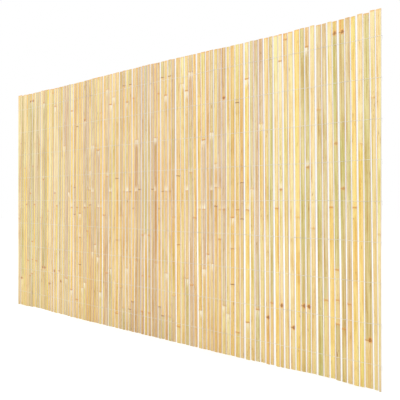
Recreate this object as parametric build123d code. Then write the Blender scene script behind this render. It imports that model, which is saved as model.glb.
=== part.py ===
from build123d import *
import os
from collections import namedtuple
from math import copysign

# A roll-out privacy screen: upright split-bamboo slats bound by rows of twisted wire.
# X runs along the screen, Z is up, and the face that is looked at points to -Y.
# The origin is at the foot of the middle slat, half way through its thickness.

# Driving dimensions, in millimetres
HEIGHT = 1000.0  # from the lowest slat foot to the highest slat top
SLAT_WIDTH = 15.55  # an ordinary slat
SLAT_GAP = 2.5  # an ordinary gap between two slats
SLAT_THICKNESS = 3.5  # from the crown of the skin to the edges of the inner face
CANE_RADIUS = 32.0  # outside of the cane that was split into slats
SPLIT_SLOPE = 0.8  # the inner face is this much narrower on each side
END_STEP = 6.0  # the most by which a slat end is short of the longest
JOINT_RISE = 0.8  # ring that a joint of the cane leaves on the skin
RIB_RISE = 0.8  # what is left of the cane's cross wall, on the inner face
JOINT_HALF_HEIGHT = 5.0  # from a joint's crest to plain slat
JOINT_CLEARANCE = 2.5  # at least this much plain slat between a joint and a wire
WIRE_DIAMETER = 0.8
WIRE_ROWS = 9
FOOT_TO_WIRE = 68.0  # from the foot to the lowest row
TOP_TO_WIRE = 72.0  # from the top to the highest row
WIRE_SEAT = 0.05  # between a strand and the face that it lies on
WIRE_TURN_CLEARANCE = 0.3  # between a strand's turn and the end slat
WIRE_FOLD = 0.55  # share of the strands' depth that each fold at a turn cuts off
TAIL_DIAMETER = 1.4  # the two wire ends twisted together
TAIL_LENGTH = 14.0

# The right half, from the middle slat outwards.
# Widths are shares of SLAT_WIDTH, and gaps, on the side of the middle, of SLAT_GAP.
# Short ends are shares of END_STEP, and joints are shares of HEIGHT.
# The skin or the inner face of a slat looks forwards.
Slat = namedtuple("Slat", "foot_gap foot_width top_gap top_width foot_up top_down face joints")
MIDDLE = Slat(0, 1.04, 0, 0.57, 0.0, 0.2, "skin", [0.375])
OUTWARDS = [
    Slat(1.7, 0.95, 1.5, 0.80, 0.0, 0.1, "skin", [0.085, 0.37]),
    Slat(1.4, 0.93, 1.8, 0.99, 0.2, 0.2, "inner", [0.54]),
    Slat(0.8, 1.00, 1.0, 0.95, 0.1, 0.3, "inner", [0.272, 0.728]),
    Slat(1.6, 0.93, 1.1, 0.80, 0.0, 0.4, "skin", [0.115, 0.885]),
    Slat(0.8, 0.96, 2.5, 1.02, 0.2, 0.3, "skin", [0.085, 0.94]),
    Slat(1.2, 0.90, 0.8, 0.95, 0.1, 0.3, "skin", [0.24, 0.875]),
    Slat(1.4, 1.02, 1.6, 1.00, 0.0, 0.2, "skin", [0.085, 0.94]),
    Slat(0.8, 1.12, 0.8, 0.95, 0.1, 0.4, "inner", [0.163, 0.44]),
    Slat(1.8, 1.30, 2.3, 1.32, 0.0, 0.3, "skin", [0.058, 0.585]),
    Slat(1.1, 1.17, 0.8, 1.04, 0.2, 0.4, "skin", [0.905]),
    Slat(0.8, 1.10, 1.7, 1.04, 0.1, 0.4, "skin", [0.23, 0.877]),
    Slat(1.5, 1.14, 0.8, 1.14, 0.0, 0.4, "inner", [0.21, 0.94]),
    Slat(0.8, 0.98, 0.8, 0.89, 0.2, 0.5, "skin", [0.44]),
    Slat(2.2, 1.05, 2.4, 1.02, 0.0, 0.5, "skin", [0.13, 0.85]),
    Slat(1.1, 0.96, 0.9, 1.14, 0.1, 0.4, "inner", [0.27, 0.702]),
    Slat(1.1, 0.84, 1.4, 0.91, 0.2, 0.5, "skin", [0.32]),
    Slat(0.8, 0.96, 0.8, 1.01, 0.1, 0.4, "inner", [0.285, 0.725]),
    Slat(0.8, 0.96, 1.7, 0.94, 0.0, 0.6, "skin", [0.48, 0.62]),
    Slat(0.8, 0.95, 0.9, 0.89, 0.1, 0.7, "skin", [0.372, 0.54]),
    Slat(1.0, 1.00, 0.8, 1.00, 0.0, 0.7, "inner", [0.158, 0.832]),
    Slat(0.8, 0.93, 1.8, 0.83, 0.1, 0.9, "skin", [0.135]),
    Slat(0.8, 1.07, 0.8, 1.15, 0.2, 0.8, "skin", [0.23, 0.445]),
    Slat(1.5, 1.16, 1.1, 1.02, 0.1, 0.8, "skin", [0.08, 0.81]),
    Slat(0.8, 0.90, 0.8, 0.89, 0.2, 0.9, "inner", [0.44, 0.555]),
    Slat(2.5, 1.10, 2.4, 0.99, 0.0, 0.9, "skin", [0.118, 0.88]),
    Slat(1.6, 0.96, 1.6, 0.85, 0.3, 0.7, "skin", [0.535]),
    Slat(1.1, 1.04, 0.8, 1.00, 0.4, 0.9, "inner", [0.163]),
    Slat(1.4, 1.00, 1.1, 0.99, 0.5, 0.8, "inner", [0.735]),
    Slat(1.8, 0.82, 2.0, 1.02, 0.3, 1.0, "skin", [0.145]),
    Slat(1.2, 0.76, 0.8, 0.86, 0.5, 0.9, "skin", [0.19]),
    Slat(2.9, 0.90, 1.5, 0.95, 0.3, 1.0, "skin", [0.475]),
    Slat(0.8, 0.80, 0.8, 0.82, 0.4, 0.9, "skin", [0.187, 0.914]),
    Slat(2.0, 0.92, 1.8, 0.91, 0.4, 1.0, "inner", [0.975]),
    Slat(2.0, 0.96, 0.8, 1.06, 0.6, 0.9, "skin", [0.127]),
    Slat(1.4, 0.96, 2.0, 1.15, 0.7, 0.6, "skin", [0.45]),
    Slat(0.8, 0.96, 0.8, 0.88, 0.8, 0.5, "skin", [0.195]),
    Slat(1.3, 0.89, 1.0, 0.86, 0.9, 0.6, "skin", [0.195, 0.94]),
    Slat(0.8, 0.96, 1.3, 0.92, 1.0, 0.4, "skin", [0.42]),
    Slat(2.1, 1.07, 2.0, 1.05, 0.9, 0.8, "skin", [0.755]),
    Slat(1.0, 1.03, 0.8, 0.89, 0.9, 0.8, "skin", [0.22]),
    Slat(1.6, 0.95, 1.5, 0.85, 1.0, 0.6, "skin", [0.48]),
    Slat(0.8, 0.88, 0.8, 0.88, 0.6, 0.9, "skin", [0.158, 0.308, 0.96]),
    Slat(1.8, 0.86, 2.1, 1.09, 0.5, 0.8, "skin", [0.148, 0.96]),
    Slat(1.2, 0.93, 0.8, 0.95, 0.4, 0.6, "skin", [0.218]),
    Slat(1.2, 0.96, 0.8, 0.88, 0.2, 0.7, "skin", [0.48]),
    Slat(1.0, 0.82, 2.0, 0.99, 0.3, 0.3, "skin", [0.65]),
    Slat(0.8, 1.43, 0.8, 1.05, 0.5, 0.7, "skin", [0.13]),
    Slat(1.4, 0.68, 0.9, 0.87, 0.4, 0.0, "skin", [0.77]),
    Slat(0.8, 0.35, 0.8, 1.02, 0.1, 0.1, "skin", [0.41]),
]

JOINT_TO_WIRE = JOINT_HALF_HEIGHT + JOINT_CLEARANCE + WIRE_DIAMETER / 2
STRAND_DEPTH = SLAT_THICKNESS / 2 + WIRE_SEAT + WIRE_DIAMETER / 2
ROW_PITCH = (HEIGHT - FOOT_TO_WIRE - TOP_TO_WIRE) / (WIRE_ROWS - 1)
ROW_HEIGHTS = [FOOT_TO_WIRE + row * ROW_PITCH for row in range(WIRE_ROWS)]

# The left and right edge of a slat at its foot and at its top
Edges = namedtuple("Edges", "foot_left foot_right top_left top_right")


def edges_outwards():
    """Edges of the middle slat and of each slat to its right, from the gaps and widths."""
    foot = MIDDLE.foot_width * SLAT_WIDTH / 2
    top = MIDDLE.top_width * SLAT_WIDTH / 2
    placed = [Edges(-foot, foot, -top, top)]
    for slat in OUTWARDS:
        foot_left = placed[-1].foot_right + slat.foot_gap * SLAT_GAP
        top_left = placed[-1].top_right + slat.top_gap * SLAT_GAP
        foot_right = foot_left + slat.foot_width * SLAT_WIDTH
        top_right = top_left + slat.top_width * SLAT_WIDTH
        placed.append(Edges(foot_left, foot_right, top_left, top_right))
    return placed


def joint_height(share):
    """Height of a joint, moved off a wire row that it would lie under."""
    height = share * HEIGHT
    for row in ROW_HEIGHTS:
        if abs(height - row) < JOINT_TO_WIRE:
            height = row + copysign(JOINT_TO_WIRE, height - row)
    return height


def sagitta(chord, radius):
    """How far an arc rises above its chord."""
    return chord**2 / (8 * radius)


def slat_section(edges, height, forwards, crest=False):
    """Cross-section of a slat: a piece of cane wall, thicker at the crest of a joint."""
    share = height / HEIGHT
    left = edges.foot_left + share * (edges.top_left - edges.foot_left)
    right = edges.foot_right + share * (edges.top_right - edges.foot_right)
    middle = (left + right) / 2
    inner_left = left + SPLIT_SLOPE
    inner_right = right - SPLIT_SLOPE
    crown = -SLAT_THICKNESS / 2
    shoulder = crown + sagitta(right - left, CANE_RADIUS)
    heel = SLAT_THICKNESS / 2
    hollow = heel - sagitta(inner_right - inner_left, CANE_RADIUS - SLAT_THICKNESS)
    if crest:
        crown -= JOINT_RISE
        shoulder -= JOINT_RISE
        hollow = heel + RIB_RISE
    skin = ThreePointArc((left, shoulder), (middle, crown), (right, shoulder))
    right_side = Line((right, shoulder), (inner_right, heel))
    inner = ThreePointArc((inner_right, heel), (middle, hollow), (inner_left, heel))
    left_side = Line((inner_left, heel), (left, shoulder))
    section = make_face([skin, right_side, inner, left_side])
    if forwards == "inner":
        section = mirror(section, about=Plane.XZ)
    return Pos(0, 0, height) * section


def slat_solid(slat, edges):
    """One slat from foot to top, with a ring and a rib at each joint of the cane."""
    sections = [slat_section(edges, slat.foot_up * END_STEP, slat.face)]
    for share in slat.joints:
        crest = joint_height(share)
        sections.append(slat_section(edges, crest - JOINT_HALF_HEIGHT, slat.face))
        sections.append(slat_section(edges, crest, slat.face, crest=True))
        sections.append(slat_section(edges, crest + JOINT_HALF_HEIGHT, slat.face))
    sections.append(slat_section(edges, HEIGHT - slat.top_down * END_STEP, slat.face))
    return loft(sections, ruled=True).solid()


def wire_section(diameter):
    """Six-sided section of a wire, measured across its flats."""
    return RegularPolygon(diameter / 2, 6, major_radius=False)


def outer_edge(height):
    """Distance of the outermost slat's edge from the middle."""
    last = edges_outwards()[-1]
    return last.foot_right + height / HEIGHT * (last.top_right - last.foot_right)


def wire_path(turn):
    """Middle line of a row's wire: in front of the slats, folded over the end one, and back."""
    outline = Rectangle(2 * (turn + STRAND_DEPTH), 2 * STRAND_DEPTH)
    return chamfer(outline.vertices(), WIRE_FOLD * STRAND_DEPTH).wire()


def wire_row(height):
    """Two strands along the slats' faces, joined round the end slats, with a twisted tail."""
    turn = outer_edge(height) + WIRE_TURN_CLEARANCE
    path = wire_path(turn)
    section = Plane(origin=path @ 0, z_dir=path % 0) * wire_section(WIRE_DIAMETER)
    strands = sweep(section, path=path, transition=Transition.RIGHT)
    tail = extrude(wire_section(TAIL_DIAMETER), -TAIL_LENGTH)
    tail_middle = turn + STRAND_DEPTH - (TAIL_DIAMETER - WIRE_DIAMETER) / 2
    return Pos(0, 0, height) * (strands + Pos(tail_middle, 0, 0) * tail).solid()


def save(shapes, name):
    """Write one sub-part, as one solid or as a group of separate solids."""
    export_step(Compound(children=list(shapes)), f"parts/{name}.step")


def mirrored(shape):
    """The same piece in the left half."""
    return mirror(shape, about=Plane.YZ)


os.makedirs("parts", exist_ok=True)
edges = edges_outwards()
slats = [slat_solid(slat, edge) for slat, edge in zip([MIDDLE] + OUTWARDS, edges)]
save([slats[0]], "centre_slat")
for number, first in enumerate(range(1, len(slats) - 1, 2), start=1):
    pair = slats[first : first + 2]
    save(pair, f"slat_pair_right_{number:02d}")
    save([mirrored(slat) for slat in pair], f"slat_pair_left_{number:02d}")
save([slats[-1]], "end_slat_right")
save([mirrored(slats[-1])], "end_slat_left")
for row, height in enumerate(ROW_HEIGHTS, start=1):
    save([wire_row(height)], f"wire_row_{row}")
print("length at the foot", 2 * edges[-1].foot_right, "at the top", 2 * edges[-1].top_right)
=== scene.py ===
import math
from collections import namedtuple

import bpy
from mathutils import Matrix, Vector, noise


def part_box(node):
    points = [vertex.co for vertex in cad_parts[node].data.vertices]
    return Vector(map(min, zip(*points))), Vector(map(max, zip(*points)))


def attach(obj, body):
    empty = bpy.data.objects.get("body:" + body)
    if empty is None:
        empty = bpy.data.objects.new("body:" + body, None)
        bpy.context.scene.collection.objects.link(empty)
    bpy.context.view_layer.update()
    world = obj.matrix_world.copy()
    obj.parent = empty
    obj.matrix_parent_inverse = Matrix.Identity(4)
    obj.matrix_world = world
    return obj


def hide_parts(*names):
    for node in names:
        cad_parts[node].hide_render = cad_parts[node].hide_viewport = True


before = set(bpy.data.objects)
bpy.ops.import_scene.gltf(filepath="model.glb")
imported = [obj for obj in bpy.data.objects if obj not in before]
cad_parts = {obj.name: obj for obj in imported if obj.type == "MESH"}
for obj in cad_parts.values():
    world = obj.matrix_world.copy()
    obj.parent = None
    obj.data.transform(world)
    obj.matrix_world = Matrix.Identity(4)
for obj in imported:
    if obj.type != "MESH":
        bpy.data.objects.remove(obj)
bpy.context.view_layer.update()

# A roll-out privacy screen of split bamboo. Lengths are in metres, in the frame of the model:
# X along the screen, Z up, and the face that is looked at points to -Y.
MM = 0.001

# Tones of the bamboo, as they look in plain light
TONES = {
    "gold": (252, 224, 138),
    "honey": (241, 207, 132),
    "amber": (233, 197, 126),
    "straw": (241, 217, 154),
    "cream": (249, 232, 178),
    "buff": (235, 205, 148),
    "rose": (221, 197, 164),
    "tan": (219, 190, 142),
    "brown": (212, 176, 122),
    "olive": (215, 200, 140),
    "moss": (219, 196, 124),
    "sage": (225, 209, 165),
}
# What a joint of the cane shows: how strong its orange line, dark line, white bloom and knot are
JOINTS = {
    "plain": (0.35, 0.0, 0.2, 0.0),
    "orange": (1.0, 0.2, 0.0, 0.0),
    "dark": (0.4, 1.0, 0.1, 0.0),
    "knot": (0.7, 0.5, 0.3, 1.0),
    "bloom": (0.2, 0.1, 1.0, 0.0),
    "lined bloom": (0.9, 0.35, 1.0, 0.0),
}
# From the middle slat outwards: tones from foot to top, and the joints between them
Look = namedtuple("Look", "tones joints")
LOOKS = [
    Look(["amber", "olive"], ["bloom"]),
    Look(["brown", "tan", "tan"], ["orange", "orange"]),
    Look(["tan", "rose"], ["dark"]),
    Look(["tan", "brown", "buff"], ["plain", "bloom"]),
    Look(["tan", "honey", "buff"], ["dark", "orange"]),
    Look(["olive", "buff", "olive"], ["dark", "dark"]),
    Look(["buff", "buff", "straw"], ["bloom", "lined bloom"]),
    Look(["olive", "buff", "sage"], ["plain", "dark"]),
    Look(["tan", "amber", "tan"], ["plain", "plain"]),
    Look(["straw", "honey", "buff"], ["orange", "dark"]),
    Look(["straw", "cream"], ["bloom"]),
    Look(["olive", "buff", "straw"], ["bloom", "lined bloom"]),
    Look(["rose", "rose", "sage"], ["orange", "bloom"]),
    Look(["buff", "honey"], ["orange"]),
    Look(["straw", "honey", "buff"], ["bloom", "plain"]),
    Look(["buff", "rose", "straw"], ["bloom", "lined bloom"]),
    Look(["honey", "buff"], ["lined bloom"]),
    Look(["buff", "rose", "sage"], ["bloom", "bloom"]),
    Look(["amber", "buff", "straw"], ["dark", "bloom"]),
    Look(["honey", "straw", "rose"], ["orange", "plain"]),
    Look(["straw", "rose", "tan"], ["bloom", "knot"]),
    Look(["cream", "straw"], ["bloom"]),
    Look(["honey", "honey", "amber"], ["dark", "lined bloom"]),
    Look(["straw", "straw", "straw"], ["orange", "dark"]),
    Look(["buff", "tan", "amber"], ["dark", "dark"]),
    Look(["straw", "gold", "cream"], ["lined bloom", "lined bloom"]),
    Look(["straw", "sage"], ["bloom"]),
    Look(["sage", "rose"], ["lined bloom"]),
    Look(["straw", "rose"], ["bloom"]),
    Look(["honey", "straw"], ["knot"]),
    Look(["straw", "olive"], ["orange"]),
    Look(["gold", "cream"], ["orange"]),
    Look(["straw", "cream", "cream"], ["knot", "lined bloom"]),
    Look(["straw", "honey"], ["orange"]),
    Look(["straw", "cream"], ["knot"]),
    Look(["gold", "gold"], ["plain"]),
    Look(["moss", "olive"], ["knot"]),
    Look(["straw", "olive", "buff"], ["knot", "lined bloom"]),
    Look(["straw", "cream"], ["plain"]),
    Look(["olive", "sage"], ["plain"]),
    Look(["straw", "sage"], ["orange"]),
    Look(["gold", "cream"], ["orange"]),
    Look(["olive", "straw", "olive", "honey"], ["orange", "orange", "knot"]),
    Look(["moss", "olive", "honey"], ["orange", "knot"]),
    Look(["straw", "sage"], ["orange"]),
    Look(["gold", "gold"], ["orange"]),
    Look(["gold", "cream"], ["plain"]),
    Look(["straw", "olive"], ["knot"]),
    Look(["straw", "cream"], ["plain"]),
    Look(["cream", "cream"], ["plain"]),
]

# A slat's shape
SLAT_DEPTH = 1.75 * MM  # half of a slat's thickness
MERGE_GAP = 0.002 * MM  # corners nearer than this are one corner
FLAT_ANGLE = math.radians(3)  # triangles that turn less than this make one flat face
EDGE_ROUND = 0.3 * MM
EDGE_ANGLE = math.radians(40)  # edges sharper than this are rounded
SMOOTH_ANGLE = math.radians(35)
END_LEVEL = 0.1 * MM  # corners this near a slat's end belong to it
CREST_RISE = 0.4 * MM  # corners that stand above the face by more are on a joint's crest
CREST_SPACING = 10 * MM  # corners of two crests are further apart than this
RING_STEP = 62.5 * MM
RING_ROOM = 2 * MM  # no ring is cut nearer than this to a slat's end
CREST_ROOM = 6 * MM  # and no plain ring nearer than this to a joint's crest
JOINT_RINGS = [-40, -14, -3, -1.8, -0.6, 0.6, 1.8, 3, 14, 40]  # mm from a joint's crest
JOINT_HALF_HEIGHT = 5.0  # mm
JOINT_REACH = 40.0  # mm, how far from a joint its marks can show
# Rise, place above the crest and width of a joint's ridge, scar and groove, in mm
JOINT_RELIEF = [(0.28, 1.8, 1.1), (0.2, -1.8, 0.8), (-0.3, -0.3, 0.7)]
WAVE = 0.22 * MM  # how far a slat's edge strays from straight
TIP_SLOPE = 1.0 * MM  # how far the saw cut at a slat's end can slant
FIBRE_RELIEF = 0.3 * MM
GRAIN_STEP = 50 * MM  # how far apart in the grain pattern two neighbouring slats are cut

# The surface map lays a slat out in bands side by side, with its ends above them
BAND_LENGTH = 250 * MM
BAND_SHARE = 0.94  # share of the map's height that the bands take
MAP_MARGIN = 1.2 * MM
SIDE_ROOM = 4.5 * MM  # width kept for a slat's side
END_ROOM = 6 * MM  # depth kept for a slat's end
CAP_ROOM = 0.04  # share of the map's height kept for the ends
CAP_MARGIN = 0.05  # share of an end's width left free on each side of it
END_NORMAL = 0.7  # a face that looks up or down by more than this is a slat's end
SKIN, INSIDE, SIDE = 0, 1, 2  # material slots

# The binding wires
WIRE_RADIUS = 0.4 * MM
ROW_STRAY = 2.5 * MM  # how far a row strays up or down
WEAVE_INSET = 1.5 * MM  # from a slat's edge to where a strand leaves its face
WEAVE_RISE = 0.35 * MM  # how far a strand slants as it passes a slat
TURN_DEPTH = 1 * MM  # half of the bend round the left end
TAIL_RADIUS = 0.35 * MM
TAIL_STEPS = 9
TAIL_PITCH = 1.5 * MM  # drop of the twisted tail in a quarter turn

# Light
FLOOR_GREY = 0.62
FLOOR_GLOW = 0.5
SURROUND_LIGHT = 0.9

# What is written on a slat's vertices for its materials. Gaps are in mm.
MARKS = {
    "tone": "FLOAT_COLOR",
    "grain": "FLOAT_VECTOR",
    "joint_gap": "FLOAT",
    "joint_look": "FLOAT_COLOR",
    "knot_gap": "FLOAT",
    "edge_gaps": "FLOAT_VECTOR",
    "tip_gap": "FLOAT",
    "tip_tint": "FLOAT",
}

Slat = namedtuple("Slat", "piece node foot top left_foot right_foot left_top right_top skin crests")


def select_only(*objects):
    """Select these objects alone, with the first one active."""
    bpy.ops.object.select_all(action="DESELECT")
    for item in objects:
        item.select_set(True)
    bpy.context.view_layer.objects.active = objects[0]


def slats_of_node(node):
    """Merged copies of a node's slats, one object for each slat."""
    piece = bpy.data.objects.new(node + "_bamboo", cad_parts[node].data.copy())
    bpy.context.scene.collection.objects.link(piece)
    piece.data.materials.clear()
    select_only(piece)
    bpy.ops.mesh.customdata_custom_splitnormals_clear()
    bpy.ops.object.mode_set(mode="EDIT")
    bpy.ops.mesh.select_all(action="SELECT")
    bpy.ops.mesh.remove_doubles(threshold=MERGE_GAP)
    bpy.ops.mesh.tris_convert_to_quads(face_threshold=FLAT_ANGLE, shape_threshold=math.pi)
    bpy.ops.mesh.separate(type="LOOSE")
    bpy.ops.object.mode_set(mode="OBJECT")
    return sorted(bpy.context.selected_objects, key=lambda item: item.data.vertices[0].co.x)


def measured_slat(piece, node):
    """A slat's ends, edges, skin side and joints, read from its corners."""
    corners = [vertex.co.copy() for vertex in piece.data.vertices]
    heights = [corner.z for corner in corners]
    foot = [corner for corner in corners if corner.z < min(heights) + END_LEVEL]
    top = [corner for corner in corners if corner.z > max(heights) - END_LEVEL]
    front = [corner.x for corner in foot if corner.y < 0]
    back = [corner.x for corner in foot if corner.y > 0]
    skin = -1 if max(front) - min(front) > max(back) - min(back) else 1
    crests = []
    for corner in sorted(corners, key=lambda corner: corner.z):
        on_crest = corner.y * skin > SLAT_DEPTH + CREST_RISE
        if on_crest and (not crests or corner.z > crests[-1] + CREST_SPACING):
            crests.append(corner.z)
    return Slat(
        piece, node, min(heights), max(heights),
        min(corner.x for corner in foot), max(corner.x for corner in foot),
        min(corner.x for corner in top), max(corner.x for corner in top),
        skin, crests,
    )


def edge_places(slat, height):
    """Left and right edge of a slat at a height."""
    share = (height - slat.foot) / (slat.top - slat.foot)
    left = slat.left_foot + share * (slat.left_top - slat.left_foot)
    right = slat.right_foot + share * (slat.right_top - slat.right_foot)
    return left, right


def nearest_joint(slat, height):
    """Signed gap in mm from a height to the nearest joint, and that joint's number."""
    gaps = [(height - crest) / MM for crest in slat.crests]
    nearest = min(range(len(gaps)), key=lambda joint: abs(gaps[joint]))
    return max(-JOINT_REACH, min(JOINT_REACH, gaps[nearest])), nearest


def round_edges(piece):
    """Take the sharpness off a slat's edges and ends."""
    select_only(piece)
    rounding = piece.modifiers.new("edges", "BEVEL")
    rounding.width = EDGE_ROUND
    rounding.segments = 2
    rounding.limit_method = "ANGLE"
    rounding.angle_limit = EDGE_ANGLE
    bpy.ops.object.modifier_apply(modifier=rounding.name)


def ring_heights(slat):
    """Heights at which a slat is cut into rings."""
    steps = round((slat.top - slat.foot) / RING_STEP)
    heights = [step * RING_STEP for step in range(1, steps + 1)]
    for crest in slat.crests:
        heights = [height for height in heights if abs(height - crest) > CREST_ROOM]
        heights += [crest + ring * MM for ring in JOINT_RINGS]
    return sorted(height for height in heights if slat.foot + RING_ROOM < height < slat.top - RING_ROOM)


def cut_rings(slat):
    """Cut a slat across at each ring height."""
    select_only(slat.piece)
    bpy.ops.object.mode_set(mode="EDIT")
    for height in ring_heights(slat):
        bpy.ops.mesh.select_all(action="SELECT")
        bpy.ops.mesh.bisect(plane_co=(0, 0, height), plane_no=(0, 0, 1))
    bpy.ops.object.mode_set(mode="OBJECT")


def joint_profile(gap):
    """Extra rise of the skin at gap mm above a joint's crest."""
    return sum(rise * math.exp(-((gap - place) / width) ** 2) for rise, place, width in JOINT_RELIEF) * MM


def shape_slat(slat, number):
    """Let the edges stray, slant the saw cut, and give each joint its ridge, scar and groove."""
    lean = noise.noise((number * 2.3, 4.5, 0.5))
    for vertex in slat.piece.data.vertices:
        place = vertex.co
        left, right = edge_places(slat, place.z)
        side = (2 * place.x - left - right) / (right - left)
        stray = noise.noise((place.z * 6, number * 3.1, 1.5 * math.copysign(1, side)))
        place.x += stray * WAVE * side
        if place.z > slat.top - TIP_SLOPE:
            place.z -= TIP_SLOPE * (0.5 + 0.5 * lean * side)
        gap = nearest_joint(slat, place.z)[0]
        if place.y * slat.skin > 0 and abs(gap) < JOINT_HALF_HEIGHT:
            place.y += slat.skin * joint_profile(gap)


def linear(tone):
    """A tone as linear colour."""
    return [((c / 255 + 0.055) / 1.055) ** 2.4 for c in tone] + [1.0]


def mark_slat(slat, number):
    """Write on each vertex its tone, its place along the grain and what is near it."""
    mesh = slat.piece.data
    look = LOOKS[abs(number)]
    for name, kind in MARKS.items():
        mesh.attributes.new(name, kind, "POINT")
    marks = {name: mesh.attributes[name].data for name in MARKS}
    tint = 0.45 + 0.9 * noise.noise((abs(number) * 0.7, 2.5, 0.5))
    knot_shift = noise.noise((abs(number) * 1.3, 7.5, 0.5)) + 0.6
    knot_share = 0.5 + 0.25 * math.copysign(knot_shift, number)
    for index, vertex in enumerate(mesh.vertices):
        place = vertex.co
        left, right = edge_places(slat, place.z)
        gap, joint = nearest_joint(slat, place.z)
        above = sum(place.z > crest for crest in slat.crests)
        marks["tone"][index].color = linear(TONES[look.tones[above]])
        marks["grain"][index].vector = (place.x - left + number * GRAIN_STEP, place.y, place.z)
        marks["joint_gap"][index].value = gap
        marks["joint_look"][index].color = JOINTS[look.joints[joint]]
        marks["knot_gap"][index].value = (place.x - left - knot_share * (right - left)) / MM
        marks["edge_gaps"][index].vector = ((place.x - left) / MM, (right - place.x) / MM, 0)
        marks["tip_gap"][index].value = (slat.top - place.z) / MM
        marks["tip_tint"][index].value = max(0.1, min(1.0, tint))


def finish_slat(slat, number):
    """Round, cut, shape and mark one slat, counted from the middle one."""
    round_edges(slat.piece)
    cut_rings(slat)
    shape_slat(slat, number)
    mark_slat(slat, number)


def strip_of(normal):
    """Which strip of the surface map a face belongs to."""
    if abs(normal.z) > END_NORMAL:
        return "end"
    if abs(normal.y) >= abs(normal.x):
        return "front" if normal.y < 0 else "back"
    return "left" if normal.x < 0 else "right"


def strip_places(widths, bands):
    """Where each strip of each band starts across the map, and how wide the map is."""
    starts = {}
    cursor = 0.0
    for band in range(bands):
        for order, width in enumerate(widths):
            rooms = {"front": width, "back": width, "left": SIDE_ROOM, "right": SIDE_ROOM}
            for strip, room in rooms.items():
                starts[band, order, strip] = cursor + MAP_MARGIN / 2
                cursor += room + MAP_MARGIN
    return starts, cursor


def map_slats(slats):
    """Lay the faces of a piece's slats out flat, and give each face its material slot."""
    bands = math.ceil(slats[0].top / BAND_LENGTH)
    widths = [max(s.right_foot - s.left_foot, s.right_top - s.left_top) for s in slats]
    starts, map_width = strip_places(widths, bands)
    for order, slat in enumerate(slats):
        mesh = slat.piece.data
        layer = mesh.uv_layers.new(name="OFBake")
        skin_strip = "front" if slat.skin < 0 else "back"
        for face in mesh.polygons:
            strip = strip_of(face.normal)
            face.material_index = SIDE if strip in ("left", "right") else INSIDE
            if strip == skin_strip:
                face.material_index = SKIN
            band = min(bands - 1, int(face.center.z / BAND_LENGTH))
            for loop in face.loop_indices:
                place = mesh.vertices[mesh.loops[loop].vertex_index].co
                left = edge_places(slat, place.z)[0]
                if strip == "end":
                    column = order * 2 + (face.center.z > BAND_LENGTH)
                    share = CAP_MARGIN + (1 - 2 * CAP_MARGIN) * (place.x - left) / widths[order]
                    along = (column + share) / (2 * len(slats))
                    up = 1 - CAP_ROOM * (0.5 + place.y / END_ROOM)
                else:
                    across = place.x - left if strip in ("front", "back") else place.y + SIDE_ROOM / 2
                    along = (starts[band, order, strip] + across) / map_width
                    up = (place.z - band * BAND_LENGTH) / BAND_LENGTH * BAND_SHARE
                layer.data[loop].uv = (along, up)


def join_slats(node, members, coats):
    """One piece in a node's place, from the node's finished slats."""
    map_slats(members)
    select_only(*[slat.piece for slat in members])
    if len(members) > 1:
        bpy.ops.object.join()
    piece = bpy.context.view_layer.objects.active
    piece.name = node + "_bamboo"
    for coat in coats:
        piece.data.materials.append(coat)
    bpy.ops.object.shade_smooth_by_angle(angle=SMOOTH_ANGLE)
    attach(piece, "root")
    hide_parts(node)


def add(tree, kind, inputs=(), **settings):
    """Add a node, set what it is told, and link or fill its inputs."""
    node = tree.nodes.new("ShaderNode" + kind)
    for name, value in settings.items():
        setattr(node, name, value)
    for name, value in dict(inputs).items():
        if isinstance(value, bpy.types.NodeSocket):
            tree.links.new(value, node.inputs[name])
        else:
            node.inputs[name].default_value = value
    return node


def math_node(tree, operation, first, second=0.0, third=0.0):
    """The output of a Math node."""
    return add(tree, "Math", {0: first, 1: second, 2: third}, operation=operation).outputs[0]


def times(tree, first, second):
    """The product of two values."""
    return math_node(tree, "MULTIPLY", first, second)


def ramp(tree, value, low, high, to_low=0.0, to_high=1.0):
    """A value carried smoothly from one range to another."""
    settings = {"Value": value, "From Min": low, "From Max": high, "To Min": to_low, "To Max": to_high}
    return add(tree, "MapRange", settings, interpolation_type="SMOOTHSTEP").outputs[0]


def blend_colour(tree, share, first, second, mode="MIX"):
    """The output of a Mix node on colours: inputs 6 and 7 are its two colours."""
    node = add(tree, "Mix", {0: share, 6: first, 7: second}, data_type="RGBA", blend_type=mode)
    return node.outputs[2]


def glazed(tree, base, share, glaze):
    """The base colour under a glaze that tints it."""
    return blend_colour(tree, share, base, linear(glaze), "MULTIPLY")


def painted(tree, base, share, tone):
    """The base colour with a tone laid over it."""
    return blend_colour(tree, share, base, linear(tone))


def stretched_noise(tree, grain, scale, detail, rough=0.5):
    """Noise drawn out along the grain; scale is in waves a metre."""
    stretched = add(tree, "VectorMath", {0: grain, 1: scale}, operation="MULTIPLY").outputs[0]
    settings = {"Vector": stretched, "Scale": 1.0, "Detail": detail, "Roughness": rough}
    return add(tree, "TexNoise", settings).outputs[0]


def oval_distance(tree, across, width, along, height):
    """Distance from the middle of an oval, stretched by its width and its height."""
    level = math_node(tree, "POWER", math_node(tree, "DIVIDE", across, width), 2.0)
    upright = math_node(tree, "POWER", math_node(tree, "DIVIDE", along, height), 2.0)
    return math_node(tree, "SQRT", math_node(tree, "ADD", level, upright))


def new_group(name, inputs, outputs):
    """An empty node group with these sockets."""
    group = bpy.data.node_groups.new(name, "ShaderNodeTree")
    for socket, kind in inputs.items():
        group.interface.new_socket(name=socket, in_out="INPUT", socket_type="NodeSocket" + kind)
    for socket, kind in outputs.items():
        group.interface.new_socket(name=socket, in_out="OUTPUT", socket_type="NodeSocket" + kind)
    return group, group.nodes.new("NodeGroupInput").outputs, group.nodes.new("NodeGroupOutput").inputs


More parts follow.
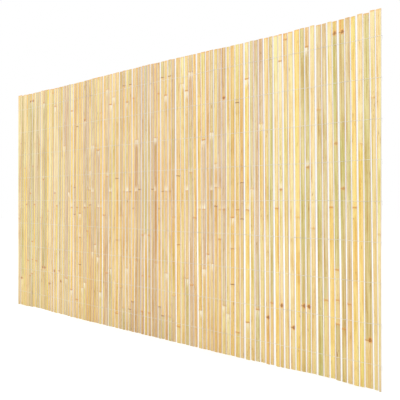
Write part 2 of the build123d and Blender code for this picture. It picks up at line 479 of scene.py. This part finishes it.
def fibre_group():
    """Fibres, streaks, patches, hues, specks and stains along the grain, laid over a colour."""
    group, given, result = new_group(
        "cane fibres",
        {"Colour": "Color", "Grain": "Vector", "Fibre Strength": "Float"},
        {"Colour": "Color", "Fibre": "Float"},
    )
    grain = given["Grain"]
    fibre = ramp(group, stretched_noise(group, grain, (2600, 2600, 34), 3.0), 0.3, 0.7)
    streak = ramp(group, stretched_noise(group, grain, (420, 420, 5), 2.0), 0.3, 0.7)
    patch = ramp(group, stretched_noise(group, grain, (60, 60, 11), 3.0, 0.6), 0.32, 0.68)
    hue = ramp(group, stretched_noise(group, grain, (150, 150, 2.5), 1.0), 0.3, 0.7)
    speck = ramp(group, stretched_noise(group, grain, (300, 300, 45), 3.0, 0.65), 0.6, 0.7)
    stain = ramp(group, stretched_noise(group, grain, (420, 420, 7), 3.0, 0.6), 0.6, 0.74)
    clusters = ramp(group, patch, 0.2, 1.0, 0.15, 0.8)
    colour = glazed(group, given["Colour"], ramp(group, hue, 0.55, 1.0, 0.0, 0.85), (238, 252, 222))
    colour = glazed(group, colour, ramp(group, hue, 0.45, 0.0, 0.0, 0.85), (249, 236, 228))
    colour = glazed(group, colour, ramp(group, patch, 0.3, 1.0, 0.0, 0.7), (240, 228, 204))
    colour = painted(group, colour, ramp(group, streak, 0.4, 1.0, 0.0, 0.5), (251, 232, 172))
    colour = glazed(group, colour, ramp(group, streak, 0.35, 0.0, 0.0, 0.8), (240, 218, 168))
    valleys = ramp(group, fibre, 0.5, 0.0, 0.0, given["Fibre Strength"])
    colour = glazed(group, colour, valleys, (226, 206, 172))
    colour = painted(group, colour, times(group, speck, clusters), (158, 108, 54))
    colour = painted(group, colour, times(group, stain, 0.5), (186, 144, 80))
    group.links.new(colour, result["Colour"])
    group.links.new(fibre, result["Fibre"])
    return group


def joint_group():
    """The orange, dark and pale marks of a joint and its knot, laid over a colour."""
    group, given, result = new_group(
        "joint marks",
        {
            "Colour": "Color", "Grain": "Vector", "Joint Gap": "Float", "Joint Look": "Color",
            "Knot": "Float", "Knot Gap": "Float",
        },
        {"Colour": "Color"},
    )
    orange_look, dark_look, bloom_look = add(group, "SeparateColor", {0: given["Joint Look"]}).outputs
    wobble = math_node(group, "SUBTRACT", stretched_noise(group, given["Grain"], (160, 160, 30), 2.0), 0.5)
    brush = ramp(group, stretched_noise(group, given["Grain"], (500, 500, 12), 2.0), 0.38, 0.62)
    smear = math_node(group, "SUBTRACT", brush, 0.5)
    gap = math_node(group, "MULTIPLY_ADD", wobble, 5.0, given["Joint Gap"])
    distance = math_node(group, "ABSOLUTE", gap)
    shade = ramp(group, distance, 2.0, 26.0, 1.0, 0.0)
    orange = ramp(group, distance, 1.0, 4.2, 1.0, 0.0)
    orange = times(group, orange, ramp(group, brush, 0.0, 1.0, 0.6, 1.0))
    dark_gap = math_node(group, "ABSOLUTE", math_node(group, "ADD", gap, 0.4))
    dark = ramp(group, dark_gap, 0.5, 1.7, 1.0, 0.0)
    bloom = times(group, ramp(group, gap, 0.5, -4.0), ramp(group, gap, -34.0, -6.0))
    bloom = times(group, bloom, brush)
    across = math_node(group, "MULTIPLY_ADD", smear, 2.0, given["Knot Gap"])
    knot = oval_distance(group, across, 0.9, distance, 1.25)
    rim_gap = math_node(group, "ABSOLUTE", math_node(group, "SUBTRACT", knot, 3.0))
    rim = ramp(group, rim_gap, 0.2, 1.4, 1.0, 0.6)
    core = times(group, times(group, ramp(group, knot, 2.6, 4.6, 1.0, 0.0), given["Knot"]), rim)
    halo = times(group, ramp(group, knot, 3.6, 8.0, 1.0, 0.0), given["Knot"])
    orange = math_node(group, "MAXIMUM", times(group, orange, orange_look), halo)
    dark = math_node(group, "MAXIMUM", times(group, dark, dark_look), core)
    bloom = times(group, bloom, bloom_look)
    colour = painted(group, given["Colour"], times(group, shade, 0.2), (222, 180, 112))
    colour = painted(group, colour, times(group, bloom, 0.9), (255, 246, 216))
    colour = painted(group, colour, times(group, orange, 0.8), (222, 152, 66))
    colour = painted(group, colour, times(group, dark, 0.82), (114, 68, 32))
    group.links.new(colour, result["Colour"])
    return group


def rim_group():
    """Pale split edges and the tint of the sawn tip, laid over a colour."""
    group, given, result = new_group(
        "split rims",
        {"Colour": "Color", "Edge Gaps": "Vector", "Tip Gap": "Float", "Tip Tint": "Float"},
        {"Colour": "Color"},
    )
    gaps = add(group, "SeparateXYZ", {0: given["Edge Gaps"]}).outputs
    edge_gap = math_node(group, "MINIMUM", gaps["X"], gaps["Y"])
    tip = times(group, ramp(group, given["Tip Gap"], 0.5, 7.0, 0.9, 0.0), given["Tip Tint"])
    colour = painted(group, given["Colour"], ramp(group, edge_gap, 0.4, 1.9, 0.6, 0.0), (223, 202, 204))
    colour = painted(group, colour, tip, (226, 162, 88))
    group.links.new(colour, result["Colour"])
    return group


def new_material(name):
    """A material, its node tree and its shader."""
    material = bpy.data.materials.new(name)
    material.use_nodes = True
    return material, material.node_tree, material.node_tree.nodes["Principled BSDF"]


def mark(tree, name, output="Fac"):
    """What is written on the vertices under a name."""
    return add(tree, "Attribute", attribute_name=name).outputs[output]


def bamboo_material(name, groups, fibre_strength, wood, wood_share, rough, bump):
    """Split bamboo: the slat's tone mixed with bare wood, under fibres, joint marks and rims."""
    material, tree, shader = new_material(name)
    grain = mark(tree, "grain", "Vector")
    colour = painted(tree, mark(tree, "tone", "Color"), wood_share, wood)
    along = {"Colour": colour, "Grain": grain, "Fibre Strength": fibre_strength}
    fibres = add(tree, "Group", along, node_tree=groups["fibres"])
    near_joint = {
        "Colour": fibres.outputs["Colour"],
        "Grain": grain,
        "Joint Gap": mark(tree, "joint_gap"),
        "Joint Look": mark(tree, "joint_look", "Color"),
        "Knot": mark(tree, "joint_look", "Alpha"),
        "Knot Gap": mark(tree, "knot_gap"),
    }
    joints = add(tree, "Group", near_joint, node_tree=groups["joints"])
    near_rim = {
        "Colour": joints.outputs["Colour"],
        "Edge Gaps": mark(tree, "edge_gaps", "Vector"),
        "Tip Gap": mark(tree, "tip_gap"),
        "Tip Tint": mark(tree, "tip_tint"),
    }
    rims = add(tree, "Group", near_rim, node_tree=groups["rims"])
    fibre = fibres.outputs["Fibre"]
    relief = add(tree, "Bump", {"Strength": bump, "Distance": FIBRE_RELIEF, "Height": fibre})
    tree.links.new(rims.outputs["Colour"], shader.inputs["Base Color"])
    tree.links.new(ramp(tree, fibre, 0.0, 1.0, rough + 0.08, rough - 0.06), shader.inputs["Roughness"])
    tree.links.new(relief.outputs[0], shader.inputs["Normal"])
    shader.inputs["Specular IOR Level"].default_value = 0.35
    return material


def wire_material():
    """Galvanised wire: dull zinc with a mottled grey."""
    material, tree, shader = new_material("galvanised wire")
    place = add(tree, "TexCoord").outputs["Object"]
    spangle = add(tree, "TexNoise", {"Vector": place, "Scale": 900.0, "Detail": 2.0}).outputs[0]
    tarnish = add(tree, "TexNoise", {"Vector": place, "Scale": 22.0, "Detail": 3.0}).outputs[0]
    grey = painted(tree, linear((226, 226, 224)), ramp(tree, spangle, 0.35, 0.65), (248, 248, 244))
    grey = painted(tree, grey, ramp(tree, tarnish, 0.5, 0.72, 0.0, 0.8), (176, 172, 166))
    tree.links.new(grey, shader.inputs["Base Color"])
    tree.links.new(ramp(tree, spangle, 0.3, 0.7, 0.34, 0.52), shader.inputs["Roughness"])
    shader.inputs["Metallic"].default_value = 0.35
    return material


def weave_points(slats, height, start):
    """Points of one strand from left to right: over one slat, behind the next."""
    points = []
    for order, slat in enumerate(slats):
        left, right = edge_places(slat, height)
        side = -1 if (order + start) % 2 == 0 else 1
        face = side * (SLAT_DEPTH + WIRE_RADIUS)
        rise = side * WEAVE_RISE
        level = height + ROW_STRAY * noise.noise((left * 9, height * 40, 0.5))
        points.append((left + WEAVE_INSET, face, level + rise))
        points.append(((left + right) / 2, face, level))
        points.append((right - WEAVE_INSET, face, level - rise))
    return points


def tail_points(end, height, side):
    """Points of one wire end in the twisted tail, downwards."""
    points = []
    for step in range(TAIL_STEPS):
        angle = math.radians(90 * step)
        offset = Vector((math.cos(angle), math.sin(angle), 0)) * TAIL_RADIUS * side
        points.append(tuple(Vector((end, 0, height - TAIL_PITCH * step)) + offset))
    return points


def wire_row(node, slats, zinc):
    """Both strands of a row, twisted in each gap, turned round the left end and tied at the right."""
    low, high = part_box(node)
    height = high.z - WIRE_RADIUS
    end = high.x - WIRE_RADIUS - TAIL_RADIUS
    turn = low.x + WIRE_RADIUS
    points = tail_points(end, height, -1)[::-1] + weave_points(slats, height, 1)[::-1]
    points += [(turn, TURN_DEPTH, height), (turn, -TURN_DEPTH, height)]
    points += weave_points(slats, height, 0) + tail_points(end, height, 1)
    curve = bpy.data.curves.new(node + "_strands", "CURVE")
    curve.dimensions = "3D"
    curve.bevel_depth = WIRE_RADIUS
    curve.bevel_resolution = 1
    curve.resolution_u = 2
    curve.use_fill_caps = True
    spline = curve.splines.new("NURBS")
    spline.points.add(len(points) - 1)
    for point, place in zip(spline.points, points):
        point.co = (*place, 1.0)
    spline.order_u = 3
    spline.use_endpoint_u = True
    piece = bpy.data.objects.new(node + "_strands", curve)
    bpy.context.scene.collection.objects.link(piece)
    select_only(piece)
    bpy.ops.object.convert(target="MESH")
    bpy.ops.object.shade_smooth()
    piece.data.materials.clear()
    piece.data.materials.append(zinc)
    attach(piece, "root")
    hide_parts(node)


def looked_at(tree):
    """1 for a ray from the camera, a reflection or glass, and 0 for one that brings light."""
    rays = add(tree, "LightPath")
    seen = math_node(tree, "MAXIMUM", rays.outputs["Is Camera Ray"], rays.outputs["Is Glossy Ray"])
    return math_node(tree, "MAXIMUM", seen, rays.outputs["Is Transmission Ray"])


def plain_floor():
    """A white floor that keeps a soft shadow."""
    bpy.ops.object.select_all(action="DESELECT")
    bpy.ops.mesh.primitive_plane_add(size=24)
    floor = bpy.context.object
    floor.name = "floor"
    material, tree, shader = new_material("white floor")
    shader.inputs["Base Color"].default_value = (FLOOR_GREY, FLOOR_GREY, FLOOR_GREY, 1)
    shader.inputs["Roughness"].default_value = 0.9
    shader.inputs["Specular IOR Level"].default_value = 0.0
    glow = add(tree, "Emission", {"Strength": times(tree, looked_at(tree), FLOOR_GLOW)})
    both = add(tree, "AddShader", {0: shader.outputs[0], 1: glow.outputs[0]})
    tree.links.new(both.outputs[0], tree.nodes["Material Output"].inputs["Surface"])
    floor.data.materials.append(material)


def white_surround():
    """A world that is white to look at and lights the screen softly from all round."""
    world = bpy.data.worlds.new("studio")
    bpy.context.scene.world = world
    world.use_nodes = True
    tree = world.node_tree
    background = tree.nodes["Background"]
    background.inputs["Color"].default_value = (1, 1, 1, 1)
    strength = add(tree, "MapRange", {"Value": looked_at(tree), "To Min": SURROUND_LIGHT, "To Max": 1.0})
    tree.links.new(strength.outputs[0], background.inputs["Strength"])


def soft_lamp(name, place, target, size, power):
    """A large square lamp that looks at a point."""
    light = bpy.data.lights.new(name, "AREA")
    light.size = size
    light.energy = power
    lamp = bpy.data.objects.new(name, light)
    bpy.context.scene.collection.objects.link(lamp)
    lamp.location = place
    lamp.rotation_euler = (Vector(target) - Vector(place)).to_track_quat("-Z", "Y").to_euler()


def photo_camera():
    """The camera at the photograph's place: to the right of the middle, at half the height."""
    camera = bpy.data.objects.new("camera", bpy.data.cameras.new("camera"))
    bpy.context.scene.collection.objects.link(camera)
    camera.data.lens = 49.0
    camera.data.sensor_width = 36.0
    camera.location = (1.4905, -1.3712, 0.5)
    camera.rotation_euler = Vector((-0.6656, 0.7463, 0.0)).to_track_quat("-Z", "Y").to_euler()
    bpy.context.scene.camera = camera


groups = {"fibres": fibre_group(), "joints": joint_group(), "rims": rim_group()}
coats = [
    bamboo_material("bamboo skin", groups, 0.5, (250, 232, 196), 0.0, 0.46, 0.25),
    bamboo_material("bamboo inside", groups, 0.9, (248, 230, 200), 0.15, 0.72, 0.5),
    bamboo_material("bamboo sides", groups, 0.5, (220, 192, 188), 0.75, 0.8, 0.4),
]
zinc = wire_material()

slats = []
for node in sorted(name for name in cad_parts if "slat" in name):
    slats += [measured_slat(piece, node) for piece in slats_of_node(node)]
slats.sort(key=lambda slat: slat.left_foot)
for order, slat in enumerate(slats):
    finish_slat(slat, order - len(slats) // 2)
for node in sorted({slat.node for slat in slats}):
    join_slats(node, [slat for slat in slats if slat.node == node], coats)
for node in sorted(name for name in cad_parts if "wire_row" in name):
    wire_row(node, slats, zinc)

bpy.context.scene.view_settings.view_transform = "Standard"
plain_floor()
white_surround()
soft_lamp("key", (-0.4, -3.6, 2.4), (0, 0, 0.5), 3.0, 67)
soft_lamp("back fill", (-2.4, 3.0, 2.2), (0, 0, 0.5), 2.5, 24)
photo_camera()
